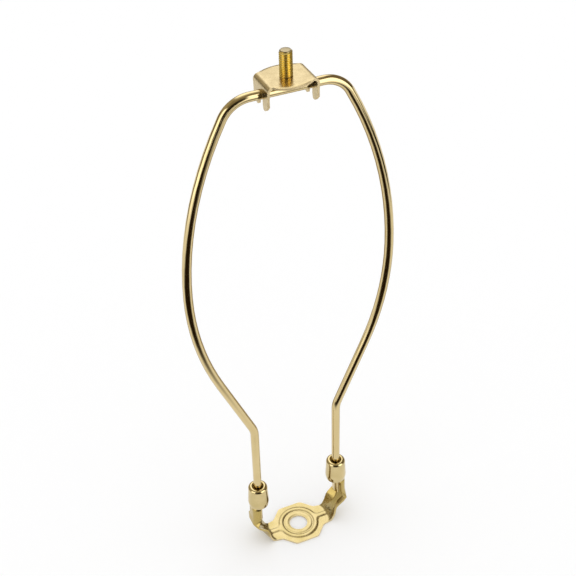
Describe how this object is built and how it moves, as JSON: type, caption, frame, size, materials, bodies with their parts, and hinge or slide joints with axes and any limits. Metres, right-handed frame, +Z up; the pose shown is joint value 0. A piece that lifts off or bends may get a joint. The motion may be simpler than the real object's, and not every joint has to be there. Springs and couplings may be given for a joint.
{
  "type": "lamp harp",
  "caption": "Sprung wire lamp harp on a pressed saddle, locked by sliding sleeves, with a swivelling bracket and finial stud for the shade.",
  "frame": {"origin": "centre of the saddle's hole, on the saddle's underside", "axes": "+Z up the harp's axis towards the finial stud, the bow lies in the XZ plane, +Y away from the viewer of the bow"},
  "size_m": [0.117, 0.0292, 0.3175],
  "materials": {
    "wire_brass": "polished",
    "saddle_brass": "polished",
    "sleeve_brass": "polished",
    "bracket_brass": "satin",
    "stud_brass": "polished"
  },
  "bodies": {
    "harp_frame": {"saddle": "saddle_brass", "bow_wire": "wire_brass"},
    "left_lock": {"sleeve_left": "sleeve_brass"},
    "right_lock": {"sleeve_right": "sleeve_brass"},
    "shade_bracket": {"swivel_bracket": "bracket_brass", "finial_stud": "stud_brass"}
  },
  "joints": [
    {"name": "bracket_swivel", "type": "hinge", "parent": "harp_frame", "child": "shade_bracket", "pos_m": [0, 0, 0.2982], "axis": [1, 0, 0], "continuous": true},
    {"name": "left_lock_slide", "type": "slide", "parent": "harp_frame", "child": "left_lock", "axis": [0, 0, 1], "range_m": [0, 0.04]},
    {"name": "right_lock_slide", "type": "slide", "parent": "harp_frame", "child": "right_lock", "axis": [0, 0, 1], "range_m": [0, 0.04]}
  ]
}
